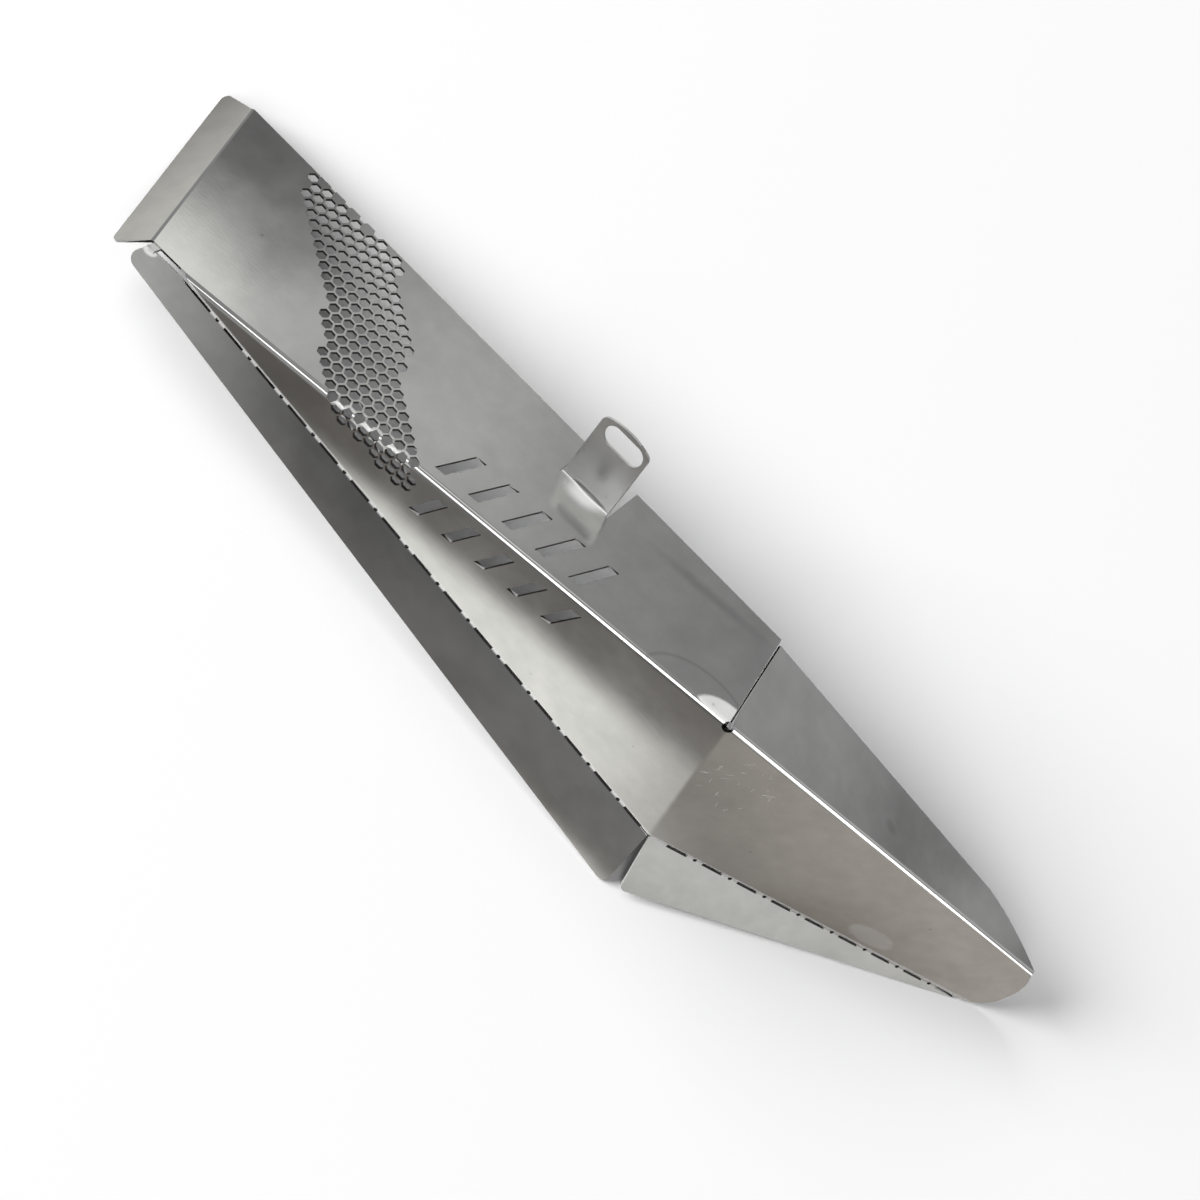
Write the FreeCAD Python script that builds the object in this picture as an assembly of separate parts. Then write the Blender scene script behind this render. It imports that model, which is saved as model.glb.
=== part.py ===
import FreeCAD, Part
import math
import os

Vector = FreeCAD.Vector

# Exhaust heat shield: one laser-cut stainless sheet, folded. All sizes in millimetres, angles in degrees.

# Sheet and folds
sheet = 1.0
fold_radius = 1.0
knee_radius = 2.0
knee_turn = 27.0
knee_lean = 20.5
flange_turn = 22.0
end_flap_turn = 35.0
tab_turn = 75.0

# Side panel, measured in its own plane: forward along the lower fold line, and up from it
top_rise = 18.4
rear_top_length = 215.0
front_top_length = 172.0
front_top_drop = 12.2
lower_fold_end = 366.0
tongue_bulge = 5.0
tongue_upper_bulge = 4.0
tongue_flat_height = 13.0
tongue_lower_height = 3.1
tongue_corner_reach = 8.0

# Rear top panel, measured along the top fold from the rear corner, and across from it
rear_inner_back = 12.5
rear_inner_inset = 3.1
rear_outer_back = 25.4
rear_outer_width = 68.5
seam_width = 38.1
seam_lean = 3.8
seam_gap = 0.9

# Front top panel, measured along the front top fold from the knee, and across from it
nose_corner_short = 2.0
nose_straight_end = 138.0
nose_straight_width = 15.4
nose_curve_mid = 157.0
nose_curve_width = 8.9
nose_end_short = 0.8

# Lower flanges
flange_back = 14.0
flange_rear_width = 10.5
flange_front_width = 25.5
flange_corner = 2.5
flange_end_round = 3.5
flange_top_back = 11.2
flange_top_drop = 2.2
bridge_width = 3.0
knee_slit_at = 229.0
knee_slit_lean = 15.0
knee_slit_gap = 1.0
front_flange_width = 23.5
front_flange_tip = 0.6
junction_length = 7.5
junction_gap = 0.6

# Dashes and dots along the lower fold line
dash_period = 15.0
dash_length = 8.6
dash_width = 1.3
dot_size = 1.5
dot_sides = 8
rear_first_dot = 3.75
rear_dots = 15
front_first_dot = 248.9
front_dots = 8

# End flap
end_flap_depth = 14.2
end_flap_flare = 7.0
end_flap_drop = 1.5
end_flap_corner = 2.0

# Fixing tab
tab_at = 137.7
tab_inset = 14.0
tab_width = 19.4
tab_side_length = 26.0
tab_crown = 3.0
tab_crown_radius = 24.0
tab_corner = 2.5
tab_slit = 0.7
slot_length = 15.4
slot_width = 7.2
slot_shift = 0.6
slot_from_fold = 22.6

# Honeycomb
hex_sides = 6
hex_rows = 30
hex_pitch = 4.0
hex_web = 0.7
hex_turn = -40.3
hex_first_along = 6.95
hex_first_across = 55.0
hex_edge_open = 0.9
hex_zone = [(-1.5, 70.0), (5.5, 55.0), (32.5, 31.0), (42.5, 18.5), (55.5, 0.5), (64.0, -4.5), (80.0, -9.0),
            (95.0, -12.5), (95.5, -4.0), (91.0, 4.0), (66.5, 27.5), (66.5, 32.5), (48.0, 47.5), (44.0, 70.0)]

# Plain slanted vents beside the top fold
vent_first = 103.0
vent_step = 13.0
vent_count = 5
vent_length = 13.0
vent_width = 4.0
vent_slant = 62.0
vent_from_fold = 11.5

# Relief holes at the knee
knee_relief_radius = 1.15
foot_relief_length = 5.0

# How far round each resting corner the lowest point is looked for, and how often
foot_span = 12.0
settle_rounds = 4

# Sizes that follow
outer_radius = fold_radius + sheet
knee_outer = knee_radius + sheet
rise = math.radians(top_rise)
drop = math.radians(front_top_drop)
lean = math.radians(knee_lean)
reach = 4.0 * sheet
knee_clear = 6.0 * reach
junction_block = 4.0 * junction_length
end_round = min(flange_end_round, (flange_rear_width - flange_top_drop) / 2)
hex_step = 360.0 / hex_sides

X = Vector(1, 0, 0)
Y = Vector(0, 1, 0)
Z = Vector(0, 0, 1)
ZERO = Vector(0, 0, 0)


def unit(vector):
    return vector * (1.0 / vector.Length)


def turned(vector, axis, degrees):
    return FreeCAD.Rotation(axis, degrees).multVec(vector)


class Panel:
    """A flat panel's own plane: a corner, two directions in it, and the outside normal."""

    def __init__(self, corner, along, across):
        self.corner = corner
        self.along = along
        self.across = across
        self.normal = along.cross(across)

    def at(self, u, v, lift=0.0):
        return self.corner + self.along * u + self.across * v + self.normal * lift


def outline(panel, corners, lift=0.0):
    """A closed wire. A corner is (u, v), then a rounding radius, then a point on an arc to the next corner."""
    full = [(c[0], c[1], c[2] if len(c) > 2 else 0.0, c[3] if len(c) > 3 else None) for c in corners]
    arrive = []
    leave = []
    round_mid = []
    for index, (u, v, radius, via) in enumerate(full):
        here = Vector(u, v, 0)
        if radius == 0.0:
            arrive.append(here)
            leave.append(here)
            round_mid.append(None)
            continue
        before = full[index - 1]
        after = full[(index + 1) % len(full)]
        back = unit(Vector(before[0], before[1], 0) - here)
        ahead = unit(Vector(after[0], after[1], 0) - here)
        half = back.getAngle(ahead) / 2.0
        arrive.append(here + back * (radius / math.tan(half)))
        leave.append(here + ahead * (radius / math.tan(half)))
        round_mid.append(here + unit(back + ahead) * (radius / math.sin(half) - radius))
    edges = []
    for index, (u, v, radius, via) in enumerate(full):
        start = panel.at(arrive[index].x, arrive[index].y, lift)
        end = panel.at(leave[index].x, leave[index].y, lift)
        goal = arrive[(index + 1) % len(full)]
        following = panel.at(goal.x, goal.y, lift)
        if round_mid[index] is not None:
            middle = panel.at(round_mid[index].x, round_mid[index].y, lift)
            edges.append(Part.Arc(start, middle, end).toShape())
        if via is not None:
            edges.append(Part.Arc(end, panel.at(via[0], via[1], lift), following).toShape())
        else:
            edges.append(Part.makeLine(end, following))
    return Part.Wire(edges)


def plate(panel, corners):
    return Part.Face(outline(panel, corners)).extrude(panel.normal * -sheet)


def cutter(panel, corners):
    return Part.Face(outline(panel, corners, reach / 2)).extrude(panel.normal * -(sheet + reach))


def slot_corners(u, v, length, width, degrees):
    """A round-ended slot lying at an angle in a panel's plane."""
    run = Vector(math.cos(math.radians(degrees)), math.sin(math.radians(degrees)), 0)
    side = Vector(-run.y, run.x, 0)
    middle = Vector(u, v, 0)
    straight = (length - width) / 2
    half = width / 2
    tip = middle + run * (straight + half)
    tail = middle - run * (straight + half)
    a = middle + run * straight + side * -half
    b = middle + run * straight + side * half
    c = middle + run * -straight + side * half
    d = middle + run * -straight + side * -half
    return [(a.x, a.y, 0, (tip.x, tip.y)), (b.x, b.y), (c.x, c.y, 0, (tail.x, tail.y)), (d.x, d.y)]


def regular_corners(u, v, radius, sides, first):
    """A regular polygon about a point, its first corner at the angle given."""
    ways = [math.radians(first + 360.0 * step / sides) for step in range(sides)]
    return [(u + radius * math.cos(way), v + radius * math.sin(way)) for way in ways]


def slanted_corners(u, v, length, width, degrees):
    """A straight-sided slot with ends along the panel's first direction, leaning at an angle."""
    lean = length / 2 / math.tan(math.radians(degrees))
    half = width / 2
    return [(u - half - lean, v - length / 2), (u + half - lean, v - length / 2),
            (u + half + lean, v + length / 2), (u - half + lean, v + length / 2)]


def setback(radius, into_a, into_b):
    return radius / math.tan(into_a.getAngle(into_b) / 2)


def bend(corner, along, into_a, into_b, outside, inside, start, stop):
    """The rounded strip between two panels. outside is the radius of the face seen from outside the shield."""
    half = into_a.getAngle(into_b) / 2
    centre = corner + along * start + unit(into_a + into_b) * (outside / math.sin(half))
    step = outside / math.tan(half)
    spoke_a = unit(corner + along * start + into_a * step - centre)
    spoke_b = unit(corner + along * start + into_b * step - centre)
    spoke_m = unit(spoke_a + spoke_b)
    rim = [centre + spoke * outside for spoke in (spoke_a, spoke_m, spoke_b)]
    core = [centre + spoke * inside for spoke in (spoke_a, spoke_m, spoke_b)]
    wire = Part.Wire([
        Part.Arc(rim[0], rim[1], rim[2]).toShape(),
        Part.makeLine(rim[2], core[2]),
        Part.Arc(core[2], core[1], core[0]).toShape(),
        Part.makeLine(core[0], rim[0])])
    return Part.Face(wire).extrude(along * (stop - start))


def meet(point_a, along_a, point_b, along_b):
    """Where two lines in a plane cross, all given as (u, v)."""
    across = along_a[0] * along_b[1] - along_a[1] * along_b[0]
    gap = (point_b[0] - point_a[0], point_b[1] - point_a[1])
    step = (gap[0] * along_b[1] - gap[1] * along_b[0]) / across
    return (point_a[0] + along_a[0] * step, point_a[1] + along_a[1] * step)


def inside(point, polygon):
    """Whether a point lies in a polygon."""
    hit = False
    for index in range(len(polygon)):
        ax, ay = polygon[index - 1]
        bx, by = polygon[index]
        if (ay > point[1]) != (by > point[1]):
            if point[0] < ax + (point[1] - ay) * (bx - ax) / (by - ay):
                hit = not hit
    return hit


# Directions of the main lines
top_along = Vector(math.cos(rise), 0, math.sin(rise))
side_down = Vector(math.sin(rise), 0, -math.cos(rise))
knee = top_along * rear_top_length
knee_down = Vector(math.sin(lean), 0, -math.cos(lean))
knee_ahead = Vector(math.cos(lean), 0, math.sin(lean))
flange_out = turned(Z * -1, X, -flange_turn)


def swing(item):
    """Turn a direction or a shape about the knee line, as the front of the side panel is turned."""
    if isinstance(item, Vector):
        return turned(item, knee_down * -1, knee_turn)
    moved = item.copy()
    moved.rotate(knee, knee_down * -1, knee_turn)
    return moved


front_flat = Vector(math.cos(drop), 0, -math.sin(drop))
front_flat_down = Vector(-math.sin(drop), 0, -math.cos(drop))
front_along = swing(front_flat)
front_side_down = swing(front_flat_down)

# Panels
top_rear = Panel(ZERO, top_along, Y)
side_rear = Panel(ZERO, top_along, side_down * -1)
side_flat = Panel(ZERO, X, Z)
rear_flange = Panel(ZERO, X, flange_out * -1)
seam = unit(Vector(-seam_lean, seam_width, 0))
seam_length = math.hypot(seam_lean, seam_width)
seam_along = unit(top_rear.along * seam.x + top_rear.across * seam.y)
front_normal = unit(front_along.cross(seam_along))
top_front = Panel(knee, front_along, front_normal.cross(front_along))

# How far each fold eats into its panels
top_back = setback(outer_radius, Y, side_down)
front_back = setback(outer_radius, top_front.across, front_side_down)
knee_back = setback(knee_outer, knee_ahead * -1, swing(knee_ahead))
flange_back_off = setback(fold_radius, Z, flange_out)

# Rear top panel
outer_slope = (seam_width - rear_outer_width) / (rear_top_length - seam_lean + rear_outer_back)
inner_rear = (-rear_inner_back, rear_inner_inset)
outer_rear = (-rear_outer_back, rear_outer_width)
flap_run = unit(Vector(outer_rear[0] - inner_rear[0], outer_rear[1] - inner_rear[1], 0))
flap_in = Vector(flap_run.y, -flap_run.x, 0)
flap_along = top_rear.along * flap_run.x + top_rear.across * flap_run.y
flap_into = top_rear.along * flap_in.x + top_rear.across * flap_in.y
flap_out = turned(flap_into * -1, flap_along, -end_flap_turn)
end_flap = Panel(top_rear.at(inner_rear[0], inner_rear[1]), flap_along, flap_out)
flap_back_off = setback(outer_radius, flap_into, flap_out)
flap_start = (inner_rear[0] + flap_in.x * flap_back_off, inner_rear[1] + flap_in.y * flap_back_off)
flap_stop = (outer_rear[0] + flap_in.x * flap_back_off, outer_rear[1] + flap_in.y * flap_back_off)
seam_foot = (rear_top_length - seam_gap / 2, 0.0)
seam_low = meet(seam_foot, (seam.x, seam.y), (0.0, top_back), (1.0, 0.0))
seam_top = (seam_foot[0] + seam.x * seam_length, seam.y * seam_length)
rear_plate = plate(top_rear, [(0.0, top_back), seam_low, seam_top, flap_stop, flap_start])

# Fixing tab, turned up from the outer edge of the rear top panel
edge_run = unit(Vector(1.0, outer_slope, 0))
edge_out = Vector(-edge_run.y, edge_run.x, 0)
tab_along = top_rear.along * edge_run.x + top_rear.across * edge_run.y
tab_out = top_rear.along * edge_out.x + top_rear.across * edge_out.y
tab_edge_across = rear_outer_width + outer_slope * (tab_at + rear_outer_back)
tab_middle = Vector(tab_at, tab_edge_across, 0) - edge_out * tab_inset
tab = Panel(top_rear.at(tab_middle.x, tab_middle.y), tab_along, turned(tab_out, tab_along, tab_turn))
tab_back_off = setback(fold_radius, tab_out * -1, tab.across)
tab_half = tab_width / 2
tab_plate = plate(tab, [
    (-tab_half, tab_back_off),
    (tab_half, tab_back_off),
    (tab_half, tab_side_length, tab_corner),
    (0.0, tab_side_length + tab_crown, tab_crown_radius),
    (-tab_half, tab_side_length, tab_corner)])
tab_bend = bend(tab.corner, tab_along, tab_out * -1, tab.across, fold_radius, outer_radius, -tab_half, tab_half)
notch_panel = Panel(tab.corner, tab_along, tab_out)
notch_half = tab_half + tab_slit
notch = cutter(notch_panel, [
    (-notch_half, -tab_back_off),
    (notch_half, -tab_back_off),
    (notch_half, tab_inset * 2),
    (-notch_half, tab_inset * 2)])
rear_plate = rear_plate.cut(notch)

# End flap, turned down at the rear
flap_length = math.hypot(outer_rear[0] - inner_rear[0], outer_rear[1] - inner_rear[1])
flap_plate = plate(end_flap, [
    (0.0, flap_back_off),
    (-end_flap_drop, end_flap_depth, end_flap_corner),
    (flap_length + end_flap_flare, end_flap_depth, end_flap_corner),
    (flap_length, flap_back_off)][::-1])
flap_bend = bend(end_flap.corner, flap_along, flap_into, flap_out, outer_radius, fold_radius, 0.0, flap_length)

# Rear side panel and the top fold
knee_flat = (knee.x, knee.z)
knee_dir = (knee_down.x, knee_down.z)
knee_rear = (knee.x - knee_ahead.x * knee_back, knee.z - knee_ahead.z * knee_back)
under_top = (side_down.x * top_back, side_down.z * top_back)
top_dir = (top_along.x, top_along.z)
base_point = (0.0, flange_back_off)
base_dir = (1.0, 0.0)
rear_high = meet(knee_rear, knee_dir, under_top, top_dir)
rear_low = meet(knee_rear, knee_dir, base_point, base_dir)
side_rear_plate = plate(side_flat, [meet(under_top, top_dir, base_point, base_dir), rear_low, rear_high])
rear_stop = rear_high[0] * top_along.x + rear_high[1] * top_along.z
top_bend = bend(ZERO, top_along, Y, side_down, outer_radius, fold_radius, 0.0, rear_stop)
junction_corner = Vector(junction_length - junction_block, -junction_block / 2, junction_gap - junction_block)
junction = Part.makeBox(junction_block, junction_block, junction_block, junction_corner)
top_bend = top_bend.cut(junction)
side_rear_plate = side_rear_plate.cut(junction)

# Knee, where the side panel turns
knee_top = (rear_high[0] - knee.x) * knee_down.x + (rear_high[1] - knee.z) * knee_down.z
knee_foot = (rear_low[0] - knee.x) * knee_down.x + (rear_low[1] - knee.z) * knee_down.z
knee_bend = bend(knee, knee_down, knee_ahead * -1, swing(knee_ahead), knee_outer, knee_radius,
                 knee_top, knee_foot)

# Front side panel with its tongue end, drawn flat and then turned at the knee
front_dir = (front_flat.x, front_flat.z)
front_under = (knee_flat[0] + front_flat_down.x * front_back, knee_flat[1] + front_flat_down.z * front_back)
knee_front = (knee_flat[0] + knee_ahead.x * knee_back, knee_flat[1] + knee_ahead.z * knee_back)
tip = (knee_flat[0] + front_flat.x * front_top_length, knee_flat[1] + front_flat.z * front_top_length)
tip_under = (tip[0] + front_flat_down.x * front_back, tip[1] + front_flat_down.z * front_back)
tongue_side = (tip[0] + tongue_bulge, tongue_flat_height)
tongue_upper = (tip[0] + tongue_upper_bulge, (tip_under[1] + tongue_flat_height) / 2)
tongue_lower = (lower_fold_end + tongue_corner_reach, tongue_lower_height)
side_front_plate = swing(plate(side_flat, [
    meet(knee_front, knee_dir, front_under, front_dir),
    meet(knee_front, knee_dir, base_point, base_dir),
    (lower_fold_end, flange_back_off, 0, tongue_lower),
    (tongue_side[0], tongue_side[1], 0, tongue_upper),
    tip_under]))

# Front top fold, cut off where the knee begins
front_bend = bend(knee, front_along, top_front.across, front_side_down, outer_radius, fold_radius,
                  0.0, front_top_length - nose_end_short)
behind_knee = Panel(knee + swing(knee_ahead) * knee_back, swing(knee_ahead) * -1, knee_down)
front_bend = front_bend.cut(Part.Face(Part.makePolygon([
    behind_knee.at(0, -knee_clear, -knee_clear),
    behind_knee.at(0, knee_clear, -knee_clear),
    behind_knee.at(0, knee_clear, knee_clear),
    behind_knee.at(0, -knee_clear, knee_clear),
    behind_knee.at(0, -knee_clear, -knee_clear)])).extrude(behind_knee.along * knee_clear))

# Front top panel
seam_front = (seam_along.dot(top_front.along), seam_along.dot(top_front.across))
front_foot = (seam_gap / 2 / seam_front[1], 0.0)
nose_corner = (front_foot[0] + seam_front[0] * (seam_length - nose_corner_short),
               seam_front[1] * (seam_length - nose_corner_short))
front_plate = plate(top_front, [
    meet(front_foot, seam_front, (0.0, front_back), (1.0, 0.0)),
    (front_top_length - nose_end_short, front_back, 0, (nose_curve_mid, nose_curve_width)),
    (nose_straight_end, nose_straight_width),
    nose_corner])

# Rear lower flange, up to the slit at the knee
slit_step = math.tan(math.radians(knee_slit_lean))
flange_plate = plate(rear_flange, [
    (-flange_top_back, -flange_top_drop),
    (-flange_back, -flange_rear_width, end_round),
    (knee_slit_at + slit_step * flange_front_width, -flange_front_width, flange_corner),
    (knee_slit_at, -flange_back_off),
    (junction_length, -flange_back_off),
    (junction_length, -junction_gap),
    (0.0, -junction_gap)])
flange_bend = bend(ZERO, X, Z, flange_out, fold_radius, outer_radius,
                   junction_length, knee_slit_at - foot_relief_length)

# Bridge from the rear top panel's inner corner to the flange's rear end
bridge_from = top_rear.at(inner_rear[0], inner_rear[1])
bridge_rearward = unit(bridge_from - top_rear.at(0.0, top_back))
bridge_to = rear_flange.at(-flange_top_back, -flange_top_drop) - bridge_from
bridge_to = bridge_to - bridge_rearward * bridge_to.dot(bridge_rearward)
bridge = Panel(bridge_from, bridge_rearward, unit(bridge_to))
bridge_plate = plate(bridge, [
    (-sheet, -sheet),
    (-sheet - bridge_width, -sheet),
    (-sheet - bridge_width, bridge_to.Length - sheet / 4),
    (-sheet, bridge_to.Length - sheet / 4)])

# Front lower flange
front_flange_start = knee_slit_at + knee_slit_gap
front_flange_plate = swing(plate(rear_flange, [
    (front_flange_start, -flange_back_off),
    (front_flange_start + slit_step * front_flange_width, -front_flange_width, flange_corner),
    (lower_fold_end, -front_flange_tip),
    (lower_fold_end, -flange_back_off)]))
front_flange_bend = swing(bend(ZERO, X, Z, flange_out, fold_radius, outer_radius,
                               front_flange_start, lower_fold_end))

shield = rear_plate.fuse([
    tab_bend, tab_plate, flap_bend, flap_plate, top_bend, side_rear_plate, knee_bend, side_front_plate,
    front_bend, front_plate, flange_bend, flange_plate, bridge_plate, front_flange_bend, front_flange_plate])

# Dashes and dots
half_flange = Panel(ZERO, X, turned(Z, X, -flange_turn / 2))


def dot(at):
    return cutter(half_flange, regular_corners(at, 0.0, dot_size / 2, dot_sides, 0.0))


def dash(at):
    return cutter(half_flange, slanted_corners(at, 0.0, dash_width, dash_length, 90.0))


holes = []
for index in range(rear_dots):
    at = rear_first_dot + index * dash_period
    holes.append(dot(at))
    holes.append(dash(at + dash_period / 2))
holes.append(swing(dash(front_first_dot - dash_period / 2)))
for index in range(front_dots):
    at = front_first_dot + index * dash_period
    holes.append(swing(dot(at)))
    holes.append(swing(dash(at + dash_period / 2)))

# Fixing slot in the tab
holes.append(cutter(tab, slot_corners(slot_shift, slot_from_fold, slot_length, slot_width, 0.0)))

# Relief at the top of the knee
relief_way = unit(top_rear.normal - Y)
relief_at = knee + swing(knee_ahead) * (knee_relief_radius / 2)
relief_top = relief_at + relief_way * reach
holes.append(Part.makeCylinder(knee_relief_radius, 2 * reach, relief_top, relief_way * -1))

# Plain vents, one row on each side of the top fold
for index in range(vent_count):
    at = vent_first + index * vent_step
    holes.append(cutter(top_rear, slanted_corners(at, vent_from_fold, vent_length, vent_width, vent_slant)))
    holes.append(cutter(side_rear, slanted_corners(at, -vent_from_fold, vent_length, vent_width, vent_slant)))

# Honeycomb, laid out flat across the top fold
middle_radius = (fold_radius + outer_radius) / 2
half_arc = math.pi / 4 * middle_radius
hex_corner = (hex_pitch - hex_web) / math.sqrt(3.0)
fold_axis = (Y + side_down) * outer_radius


def across_fold(u, y):
    """The panel touching the shield's outside at a flat place, y measured from the middle of the top fold."""
    if y >= half_arc:
        return Panel(top_rear.at(u, top_back + y - half_arc), top_along, Y)
    if y <= -half_arc:
        return Panel(side_rear.at(u, y + half_arc - top_back), top_along, side_down * -1)
    spoke = turned(top_rear.normal, top_along, math.degrees((half_arc - y) / middle_radius))
    return Panel(top_along * u + fold_axis + spoke * outer_radius, top_along, spoke.cross(top_along))


row_a = (hex_pitch * math.cos(math.radians(hex_turn)), hex_pitch * math.sin(math.radians(hex_turn)))
row_b = (hex_pitch * math.cos(math.radians(hex_turn + hex_step)),
         hex_pitch * math.sin(math.radians(hex_turn + hex_step)))
for i in range(-hex_rows, hex_rows + 1):
    for j in range(-hex_rows, hex_rows + 1):
        u = hex_first_along + i * row_a[0] + j * row_b[0]
        v = hex_first_across + i * row_a[1] + j * row_b[1]
        edge = (rear_outer_width + outer_slope * (u + rear_outer_back) - v) * edge_run.x
        closed = edge > hex_pitch / 2 + hex_web
        opened = -hex_edge_open < edge < hex_edge_open
        if not inside((u, v), hex_zone) or not (closed or opened):
            continue
        place = across_fold(u, v)
        holes.append(cutter(place, regular_corners(0.0, 0.0, hex_corner, hex_sides, hex_turn + hex_step / 2)))

shield = shield.cut(holes)
shield = shield.removeSplitter().Solids[0]

# Set the shield down as it rests: on the end flap's outer corner, the knee's flange corner and the tongue
foot_rear = end_flap.at(flap_length + end_flap_flare, end_flap_depth)
foot_knee = rear_flange.at(knee_slit_at + slit_step * flange_front_width, -flange_front_width)
foot_tip = knee + swing(Vector(lower_fold_end, 0, 0) - knee)
feet = [foot_rear, foot_knee, foot_tip]
for settling in range(settle_rounds):
    up = unit((feet[2] - feet[1]).cross(feet[0] - feet[1]))
    corners = [vertex.Point for vertex in shield.Vertexes]
    feet = [min([c for c in corners if (c - foot).Length < foot_span], key=up.dot) for foot in feet]
forward = unit(X - up * X.dot(up))
left = up.cross(forward)
rest = FreeCAD.Matrix(forward.x, forward.y, forward.z, 0,
                      left.x, left.y, left.z, 0,
                      up.x, up.y, up.z, 0,
                      0, 0, 0, 1)
shield.transformShape(rest)
box = shield.BoundBox
shield.translate(Vector(-box.Center.x, -box.Center.y, -box.ZMin))

os.makedirs("parts", exist_ok=True)
shield.exportStep("parts/heat_shield.step")
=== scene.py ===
import math

import bpy
from mathutils import Matrix, Vector
from mathutils.bvhtree import BVHTree

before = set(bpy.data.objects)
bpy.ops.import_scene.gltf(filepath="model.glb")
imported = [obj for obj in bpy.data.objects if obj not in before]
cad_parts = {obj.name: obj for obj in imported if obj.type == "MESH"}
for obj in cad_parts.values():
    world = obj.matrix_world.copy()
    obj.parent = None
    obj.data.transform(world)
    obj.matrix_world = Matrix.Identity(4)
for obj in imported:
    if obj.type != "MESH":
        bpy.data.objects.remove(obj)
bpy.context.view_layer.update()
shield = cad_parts["heat_shield"]

X = Vector((1, 0, 0))
Y = Vector((0, 1, 0))
Z = Vector((0, 0, 1))

# Camera, in metres and degrees, with lens and sensor in millimetres
camera_place = Vector((-0.133422, -0.365451, 0.778802))
camera_aim = Vector((-0.000561, 0.008974, 0.027366))
camera_roll = 66.92
camera_lens = 80.03
camera_sensor = 36.0

# Floor, sky and lamps, each lamp with its place in metres and its power in watts
floor_white = 0.92
floor_size = 12.0
sky_white = (1.0, 1.0, 1.0, 1.0)
ambient = 0.04
lamp_size = 8.0
lamps = {
    "end": (Vector((-11.2, -5.5, 6.4)), 2650.0),
    "tail": (Vector((-10.7, 1.7, 8.8)), 820.0),
    "side": (Vector((0.8, -8.8, 10.9)), 555.0)}

# Cards that the metal mirrors
tent_radius = 0.5
tent_segments = 64
tent_rings = 32
tent_level = 0.35
table_level = 0.19
table_lift = 0.0004
card_black = 0.02
fold_white = 2.4
neutral = Vector((1.0, 1.0, 1.0))
pale = Vector((1.0, 1.01, 0.955))
warm = Vector((1.055, 1.0, 0.945))
brown = Vector((1.10, 1.01, 0.89))

# Pools on the tent: azimuth, elevation, spread, core, level and tint, by what mirrors them
tent_pools = [
    # Rear top panel
    (128, 38, 14, 0.0, 0.28, pale),
    (141, 24, 9, 0.35, -0.17, neutral),
    (147.5, 31.3, 7.2, 0.4, 0.85, pale),
    (139.5, 34, 6, 0.0, 0.30, pale),
    (101, 45, 9, 0.2, -0.04, neutral),
    # Front top panel
    (50, 26, 8, 0.4, 0.05, neutral),
    (39.5, 18.4, 5.2, 0.3, -0.10, neutral),
    (35, 14.5, 4, 0.3, 0.08, neutral),
    (32, 10.5, 4.5, 0.3, -0.2, neutral),
    # Rear lower flange
    (-95, 9.4, 19.6, 0.38, -0.22, neutral),
    (-112.7, -9.4, 20, 0.1, 0.76, pale),
    (-73.5, 11.5, 17.2, 0.57, -0.12, neutral),
    # Front lower flange
    (-28, 2, 26.7, 0.06, 0.44, pale),
    (-17, 2, 5, 0.2, 0.12, pale),
    # Rear top fold
    (-108, 47, 16, 0.7, fold_white, neutral),
    (-93, 44, 16, 0.7, fold_white, neutral),
    (-137, 42, 10, 0.65, fold_white, neutral),
    (160, 63, 15, 0.3, 0.70, pale),
    # Front top fold
    (-14, 22, 16, 0.75, fold_white, neutral),
    (-6, 12, 10, 0.7, fold_white, neutral),
    (26, 36, 12, 0.4, 0.25, neutral),
    (22, 22, 12, 0.5, 0.25, neutral),
    # Tab, by way of the rear top panel
    (-113, 26, 10, 0.4, 0.24, neutral)]

# Sheet, and how its cut walls are found
sheet = 0.001
small_hole = 0.0045
start_off = sheet / 20
thickness_slack = 0.15 * sheet
facing_away = -0.9
flat_slot, hole_slot, rim_slot = range(3)

# Metal: waves of noise per metre, shades, roughness and bumps
steel = (0.60, 0.60, 0.595)
noise_low = 0.3
noise_high = 0.7
grain_waves = (60, 1500, 1500)
mottle_waves = (45, 45, 45)
smear_waves = (150, 150, 150)
dent_waves = (22, 22, 22)
mottle_shades = (0.92, 1.06)
smear_shades = (0.96, 1.04)
darkest = 0.01
polish = (0.10, 0.17)
brushed = 0.09
dent_bump = {"Strength": 0.12, "Distance": 0.002}
grain_bump = {"Strength": 0.02, "Distance": 0.0002}

# Cut walls: waves of noise per metre, detail, shades, tint, metallic and roughness
cut_walls = {
    # cut_edge, on the walls of small holes and slots, is a nearly black copy of the cut wall: painted
    # shade inside the holes
    "cut_edge": ((700, 700, 700), 3.0, (0.05, 0.14), (1.0, 0.94, 0.92), 1.0, 0.5),
    "sheared_edge": ((900, 900, 900), 2.0, (0.50, 0.66), (1.0, 1.0, 0.98), 0.5, 0.45)}
# Painted shade: a cut wall keeps this share of its colour in the relief hole, so it looks black
relief_shade_left = 0.03

# Panels and folds that carry marks: directions along, across and out of a panel, and along a fold
top_panel = (
    Vector((0.963, 0.043, 0.261)),
    Vector((0.006, 0.982, -0.182)),
    Vector((-0.276, 0.177, 0.945)))
side_panel = (
    Vector((0.894, 0.378, -0.240)),
    Vector((0.088, 0.378, 0.922)),
    Vector((0.438, -0.846, 0.305)))
nose_panel = (
    Vector((0.958, -0.083, -0.272)),
    Vector((0.014, 0.968, -0.247)),
    Vector((0.281, 0.234, 0.931)))
tab_fold = Vector((0.955, -0.067, 0.291))
tab_foot = (tab_fold, top_panel[1], top_panel[2])
# Run of a painted dark reflection across the rear top panel
dark_line_run = (Vector((0.029, 0.0046, 0.0076)), top_panel[1], top_panel[2])
rear_fold = Vector((0.9991, 0.0, -0.0419))
front_fold = Vector((0.8995, 0.412, -0.1456))

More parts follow.
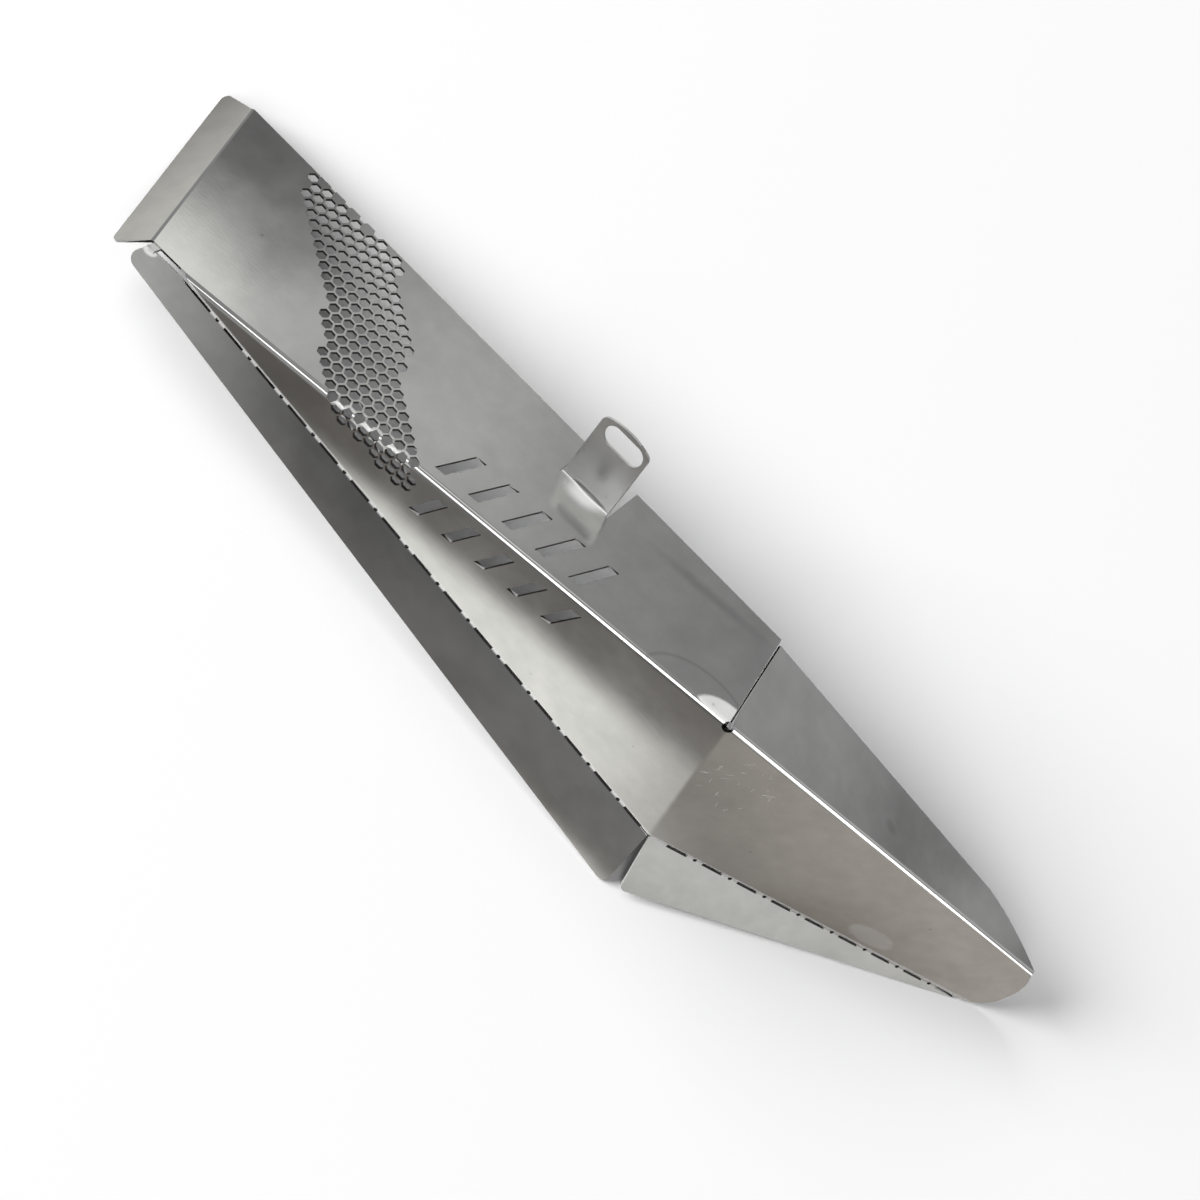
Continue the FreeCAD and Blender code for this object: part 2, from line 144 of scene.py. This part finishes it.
# Marks: lengths in metres, turns in radians, waves and cells per metre
skin = 0.0006
streak_width = 0.0011
whole_fold = 1.0
# Middle of a painted reflection on the rear top panel, by the relief hole
reflection_spot_middle = Vector((0.0404, -0.0176, 0.0891))
scratch_turns = (0.75, 1.9)
scratch_waves = (150, 1000, 1)
scratch_low = 0.69
scratch_high = 0.73
speck_cells = 110.0
speck_choice = 0.8
speck_core = 0.04
speck_rim = 0.08


def node(tree, kind, sockets=None, **settings):
    """Add a shader node, with each socket set to a value or linked to another node's socket."""
    made = tree.nodes.new("ShaderNode" + kind)
    for name, value in settings.items():
        setattr(made, name, value)
    for name, value in (sockets or {}).items():
        if isinstance(value, bpy.types.NodeSocket):
            tree.links.new(value, made.inputs[name])
        else:
            made.inputs[name].default_value = value
    return made


def math_node(tree, operation, first, second=0.0):
    return node(tree, "Math", {0: first, 1: second}, operation=operation).outputs[0]


def vector_node(tree, operation, first, second):
    return node(tree, "VectorMath", {0: first, 1: second}, operation=operation).outputs[0]


def vector_value(tree, operation, first, second=(0, 0, 0)):
    return node(tree, "VectorMath", {0: first, 1: second}, operation=operation).outputs["Value"]


def scaled(tree, vector, amount):
    return node(tree, "VectorMath", {0: vector, "Scale": amount}, operation="SCALE").outputs[0]


def along(tree, place, direction):
    return vector_value(tree, "DOT_PRODUCT", place, direction)


def map_range(tree, value, low, high, start, end, blend="LINEAR"):
    sockets = {"Value": value, "From Min": low, "From Max": high, "To Min": start, "To Max": end}
    return node(tree, "MapRange", sockets, interpolation_type=blend).outputs["Result"]


def noise(tree, place, waves, detail):
    spot = vector_node(tree, "MULTIPLY", place, waves)
    return node(tree, "TexNoise", {"Vector": spot, "Scale": 1.0, "Detail": detail}).outputs[0]


def vary(tree, texture, ends):
    """Turn a noise's usual range into a range of amounts."""
    return map_range(tree, texture, noise_low, noise_high, *ends)


def object_place(tree):
    return node(tree, "TexCoord").outputs["Object"]


def new_material(name):
    material = bpy.data.materials.new(name)
    material.use_nodes = True
    material.node_tree.nodes.clear()
    return material, material.node_tree


def surfaced(material, shader):
    """Join a shader to its material's output."""
    node(material.node_tree, "OutputMaterial", {"Surface": shader.outputs[0]})
    return material


def seen_rays(tree):
    """1 for rays from the camera, a mirror or a clear body, 0 once matt paint has scattered them."""
    path = node(tree, "LightPath").outputs
    first = math_node(tree, "MAXIMUM", path["Is Camera Ray"], path["Is Glossy Ray"])
    sent = math_node(tree, "MAXIMUM", first, path["Is Transmission Ray"])
    unscattered = math_node(tree, "LESS_THAN", path["Diffuse Depth"], 1.0)
    return math_node(tree, "MULTIPLY", sent, unscattered)


def oval_distance(tree, place, centre, axes):
    """Distance from a centre in which the ends of the three half axes are at 1."""
    offset = vector_node(tree, "SUBTRACT", place, centre)
    parts = [along(tree, offset, axis / axis.length_squared) for axis in axes]
    spot = node(tree, "CombineXYZ", dict(enumerate(parts))).outputs[0]
    return vector_value(tree, "LENGTH", spot)


def oval(centre, axes, core):
    """An amount that is 1 within core times an oval's size and fades to 0 at its rim."""
    def build(tree, place):
        off = oval_distance(tree, place, centre, axes)
        return map_range(tree, off, core, 1.0, 1.0, 0.0, "SMOOTHSTEP")
    return build


def pool(centre, reach, core):
    """An amount that is 1 within core times a round reach and fades to 0 at it."""
    def build(tree, place):
        off = vector_value(tree, "DISTANCE", place, centre)
        return map_range(tree, off, core * reach, reach, 1.0, 0.0, "SMOOTHSTEP")
    return build


def ring(centre, axes, width):
    """An amount that is 1 on an oval's rim and fades to 0 at a width, a share of its size, from it."""
    def build(tree, place):
        off = math_node(tree, "SUBTRACT", oval_distance(tree, place, centre, axes), 1.0)
        off = math_node(tree, "ABSOLUTE", off)
        return map_range(tree, off, 0.0, width, 1.0, 0.0, "SMOOTHSTEP")
    return build


def rise(direction, start, end):
    """An amount that rises from 0 to 1 along a direction."""
    def build(tree, place):
        return map_range(tree, along(tree, place, direction), start, end, 0.0, 1.0, "SMOOTHSTEP")
    return build


def both(first, second):
    """An amount that is the product of two others."""
    def build(tree, place):
        return math_node(tree, "MULTIPLY", first(tree, place), second(tree, place))
    return build


def card_material(name, base, patches):
    """A studio card that glows: an even level with soft patches of light and dark on it."""
    material, tree = new_material(name)
    material.cycles.emission_sampling = "NONE"
    place = object_place(tree)
    colour = base
    for amount, level, tint in patches:
        colour = vector_node(tree, "ADD", scaled(tree, tint * level, amount(tree, place)), colour)
    colour = vector_node(tree, "MAXIMUM", colour, neutral * card_black)
    return surfaced(material, node(tree, "Emission", {"Color": colour, "Strength": seen_rays(tree)}))


def on_tent(azimuth, elevation, spread, core):
    """A pool on the tent, by its direction and its spread in degrees."""
    a = math.radians(azimuth)
    e = math.radians(elevation)
    direction = Vector((math.cos(a) * math.cos(e), math.sin(a) * math.cos(e), math.sin(e)))
    reach = 2 * tent_radius * math.sin(math.radians(spread) / 2)
    return pool(direction * tent_radius, reach, core)


def on_table(x, y, reach_x, reach_y, core):
    """An oval patch on the table card, in metres."""
    return oval(Vector((x, y, 0)), (X * reach_x, Y * reach_y, Z), core)


def only_mirrored(card):
    """A card stands where a studio would hang one: polished metal shows it, and it lights nothing."""
    card.visible_camera = False
    card.visible_diffuse = False
    card.visible_transmission = False
    card.visible_shadow = False


def area_lamp(name, place, power):
    """A round lamp aimed at the middle of the floor, hidden from the camera and from mirrors."""
    lamp = bpy.data.lights.new(name, "AREA")
    lamp.shape = "DISK"
    lamp.size = lamp_size
    lamp.energy = power
    made = bpy.data.objects.new(name, lamp)
    made.location = place
    made.rotation_mode = "QUATERNION"
    made.rotation_quaternion = (-place).to_track_quat("-Z", "Y")
    made.visible_camera = False
    made.visible_glossy = False
    bpy.context.scene.collection.objects.link(made)


def half_axes(panel, length, width, depth):
    """Half axes of a mark on a panel: along, across and out of it."""
    run, across, normal = panel
    return run * length, across * width, normal * depth


def streak(middle, direction, reach, core):
    """A thin mark along a line."""
    side = direction.cross(Z).normalized()
    axes = half_axes((direction, side, side.cross(direction)), reach, streak_width, streak_width)
    return oval(middle, axes, core)


def scratches(tree, place):
    """Fine scratches in two directions on the front side panel."""
    side_along, side_up, side_normal = side_panel
    zone = oval(Vector((0.064, -0.0155, 0.063)), half_axes(side_panel, 0.026, 0.020, 0.004), 0.3)
    found = 0.0
    for turn in scratch_turns:
        run = side_along * math.cos(turn) + side_up * math.sin(turn)
        parts = {0: along(tree, place, run), 1: along(tree, place, run.cross(side_normal)), 2: turn}
        spot = node(tree, "CombineXYZ", parts).outputs[0]
        texture = noise(tree, spot, scratch_waves, 1.0)
        lines = map_range(tree, texture, scratch_low, scratch_high, 0.0, 1.0)
        found = math_node(tree, "MAXIMUM", lines, found)
    return math_node(tree, "MULTIPLY", zone(tree, place), found)


def specks(tree, place):
    """Small dots in some of the cells of a scattered pattern."""
    cells = node(tree, "TexVoronoi", {"Vector": place, "Scale": speck_cells}).outputs
    chosen = math_node(tree, "GREATER_THAN", along(tree, cells["Color"], X), speck_choice)
    dots = map_range(tree, cells["Distance"], speck_core, speck_rim, 1.0, 0.0)
    return math_node(tree, "MULTIPLY", chosen, dots)


# Marks on the sheet, with painted highlights, reflections and shade among them
# Painted reflection: a dulled, lighter spot by the relief hole, with a soft dark arc round it
painted_reflection_spot = oval(reflection_spot_middle, half_axes(top_panel, 0.0115, 0.0078, skin), 0.86)
reflection_arc_zone = oval(reflection_spot_middle, half_axes(top_panel, 0.09, 0.09, skin), 0.5)
painted_reflection_arc = ring(Vector((0.0305, -0.0191, 0.0859)), half_axes(top_panel, 0.0195, 0.0118, 1.0), 0.07)
# Painted reflection: a soft dark line across the rear top panel
painted_dark_line = oval(Vector((0.0128, 0.0147, 0.0750)), half_axes(dark_line_run, 1.0, 0.003, 1.0), 0.0)
# Painted highlights: dulled, lighter glints on the rear bridge and along the two lower folds
bridge_glint = oval(Vector((-0.1742, -0.0300, 0.0300)), (X * 0.0035, Y * 0.003, Z * 0.003), 0.7)
rear_glint_streak = streak(Vector((-0.05, -0.0297, 0.0273)), rear_fold, whole_fold, 0.3)
front_glint_streak = streak(Vector((0.1200, -0.0045, 0.0134)), front_fold, whole_fold, 0.3)
side_smudge = oval(Vector((0.1462, 0.0101, 0.0157)), half_axes(side_panel, 0.0108, 0.0052, 0.002), 0.8)
nose_smudge = oval(Vector((0.1112, 0.0188, 0.0601)), half_axes(nose_panel, 0.0042, 0.0022, 0.002), 0.3)
# Painted highlight on the top panel beside the tab's fold, and painted shade along the fold's crease
painted_tab_highlight = oval(Vector((-0.0327, 0.0106, 0.06245)), half_axes(tab_foot, 0.0098, 0.0052, 0.0013), 0.25)
painted_crease_shade = streak(Vector((-0.0324, 0.0120, 0.0632)), tab_fold, 0.0085, 0.6)
tab_brush = oval(Vector((-0.0345, 0.0165, 0.0715)), (X * 0.018, Y * 0.012, Z * 0.020), 0.8)
# Painted shade: the relief hole and the sheet round its rim go black
painted_relief_shade = pool(Vector((0.0432, -0.0165, 0.0881)), 0.0021, 0.85)

# Marks that dull the metal and marks that darken it, each with its strength
dull_marks = [
    (painted_tab_highlight, 0.9),
    (painted_reflection_spot, 0.85),
    (bridge_glint, 0.9),
    (rear_glint_streak, 0.8),
    (front_glint_streak, 0.8),
    (side_smudge, 0.25),
    (scratches, 0.55)]
dark_marks = [
    (painted_crease_shade, 0.65),
    (painted_relief_shade, 1.0),
    (both(reflection_arc_zone, painted_reflection_arc), 0.16),
    (painted_dark_line, 0.22),
    (nose_smudge, 0.14),
    (specks, 0.20)]


def stainless():
    material, tree = new_material("stainless_sheet")
    place = object_place(tree)
    grain = noise(tree, place, grain_waves, 2.0)
    mottle = noise(tree, place, mottle_waves, 4.0)
    smears = noise(tree, place, smear_waves, 3.0)
    dents = noise(tree, place, dent_waves, 1.0)
    dulled = 0.0
    for mark, strength in dull_marks:
        dull = math_node(tree, "MULTIPLY", mark(tree, place), strength)
        dulled = math_node(tree, "MAXIMUM", dull, dulled)
    shade = math_node(tree, "MULTIPLY", vary(tree, mottle, mottle_shades),
                      vary(tree, smears, smear_shades))
    for mark, strength in dark_marks:
        dark = math_node(tree, "MULTIPLY", mark(tree, place), strength)
        shade = math_node(tree, "SUBTRACT", shade, dark)
    shade = math_node(tree, "MAXIMUM", shade, darkest)
    brush = math_node(tree, "MULTIPLY", tab_brush(tree, place), brushed)
    dented = node(tree, "Bump", {"Height": dents, **dent_bump}).outputs[0]
    bumps = node(tree, "Bump", {"Height": grain, "Normal": dented, **grain_bump}).outputs[0]
    return surfaced(material, node(tree, "BsdfPrincipled", {
        "Base Color": scaled(tree, steel, shade),
        "Metallic": math_node(tree, "SUBTRACT", 1.0, dulled),
        "Roughness": math_node(tree, "ADD", vary(tree, mottle, polish), brush),
        "Normal": bumps}))


def cut_wall(name, waves, detail, shades, tint, metallic, roughness):
    """A wall where the sheet was cut, made black in the relief hole by painted shade."""
    material, tree = new_material(name)
    place = object_place(tree)
    shade = vary(tree, noise(tree, place, waves, detail), shades)
    unshaded = map_range(tree, painted_relief_shade(tree, place), 0.0, 1.0, 1.0, relief_shade_left)
    return surfaced(material, node(tree, "BsdfPrincipled", {
        "Base Color": scaled(tree, tint, math_node(tree, "MULTIPLY", shade, unshaded)),
        "Metallic": metallic,
        "Roughness": roughness}))


def wall_slot(solid, face):
    """Slot of a face: flat if a face lies one sheet behind it, else a small hole's wall or the rim."""
    step = face.normal * start_off
    behind, normal, _, depth = solid.ray_cast(face.center - step, -face.normal, 2 * sheet)
    thick = behind is not None and abs(depth + start_off - sheet) < thickness_slack
    if thick and normal.dot(face.normal) < facing_away:
        return flat_slot
    if solid.ray_cast(face.center + step, face.normal, small_hole)[0] is None:
        return rim_slot
    return hole_slot


# Shield
mesh = shield.data
mesh.materials.clear()
mesh.materials.append(stainless())
for name, finish in cut_walls.items():
    mesh.materials.append(cut_wall(name, *finish))
corners = [vertex.co for vertex in mesh.vertices]
solid = BVHTree.FromPolygons(corners, [face.vertices for face in mesh.polygons])
for face in mesh.polygons:
    face.material_index = wall_slot(solid, face)

# Floor
bpy.ops.mesh.primitive_plane_add(size=floor_size)
floor = bpy.context.object
floor.name = "floor"
material, tree = new_material("studio_floor")
paint = node(tree, "BsdfDiffuse", {"Color": (floor_white, floor_white, floor_white, 1.0)})
floor.data.materials.append(surfaced(material, paint))

# Tent of cards round the shield
bpy.ops.mesh.primitive_uv_sphere_add(
    segments=tent_segments, ring_count=tent_rings, radius=tent_radius)
tent = bpy.context.object
tent.name = "tent"
tent_patches = [(on_tent(*where), level, tint) for *where, level, tint in tent_pools]
tent.data.materials.append(card_material("tent_cards", neutral * tent_level, tent_patches))
only_mirrored(tent)

# Card on the table round the shield, with its patches by what mirrors them
bpy.ops.mesh.primitive_plane_add(size=2 * tent_radius, location=(0, 0, table_lift))
table = bpy.context.object
table.name = "table_card"
paper_sides = both(rise(Vector((0.20, 1, 0)), -0.0825, -0.0685), rise(-Y, 0.030, 0.045))
paper_ends = both(rise(-X, -0.125, -0.015), rise(X, -0.15, -0.09))
table_patches = [
    # Rear side panel
    (both(paper_sides, paper_ends), 0.92, pale),
    (on_table(-0.11, -0.066, 0.05, 0.02, 0.3), -0.05, neutral),
    # Front side panel
    (both(rise(X, 0.0, 0.24), rise(Y, -0.14, -0.09)), 0.27, brown),
    # End flap
    (rise(-X, 0.13, 0.31), 0.60, pale),
    # Tab
    (on_table(-0.08, -0.25, 0.10, 0.09, 0.4), 0.22, pale),
    # Underside: painted shade of the shield on the card, which the metal mirrors
    (on_table(0, 0.005, 0.21, 0.045, 0.6), -0.14, neutral)]
table.data.materials.append(card_material("table_card", warm * table_level, table_patches))
only_mirrored(table)

# World
world = bpy.data.worlds.new("studio")
bpy.context.scene.world = world
world.use_nodes = True
tree = world.node_tree
tree.nodes.clear()
lift = math_node(tree, "MULTIPLY", seen_rays(tree), 1.0 - ambient)
glow = math_node(tree, "ADD", lift, ambient)
sky = node(tree, "Background", {"Color": sky_white, "Strength": glow})
node(tree, "OutputWorld", {"Surface": sky.outputs[0]})

# Lamps
for name, (place, power) in lamps.items():
    area_lamp(name, place, power)

# Camera
lens = bpy.data.cameras.new("camera")
lens.lens = camera_lens
lens.sensor_width = camera_sensor
camera = bpy.data.objects.new("camera", lens)
look = (camera_aim - camera_place).to_track_quat("-Z", "Y").to_matrix()
turn = Matrix.Rotation(math.radians(camera_roll), 3, "Z")
camera.matrix_world = Matrix.Translation(camera_place) @ (look @ turn).to_4x4()
bpy.context.scene.collection.objects.link(camera)
bpy.context.scene.camera = camera

bpy.context.scene.view_settings.view_transform = "Standard"
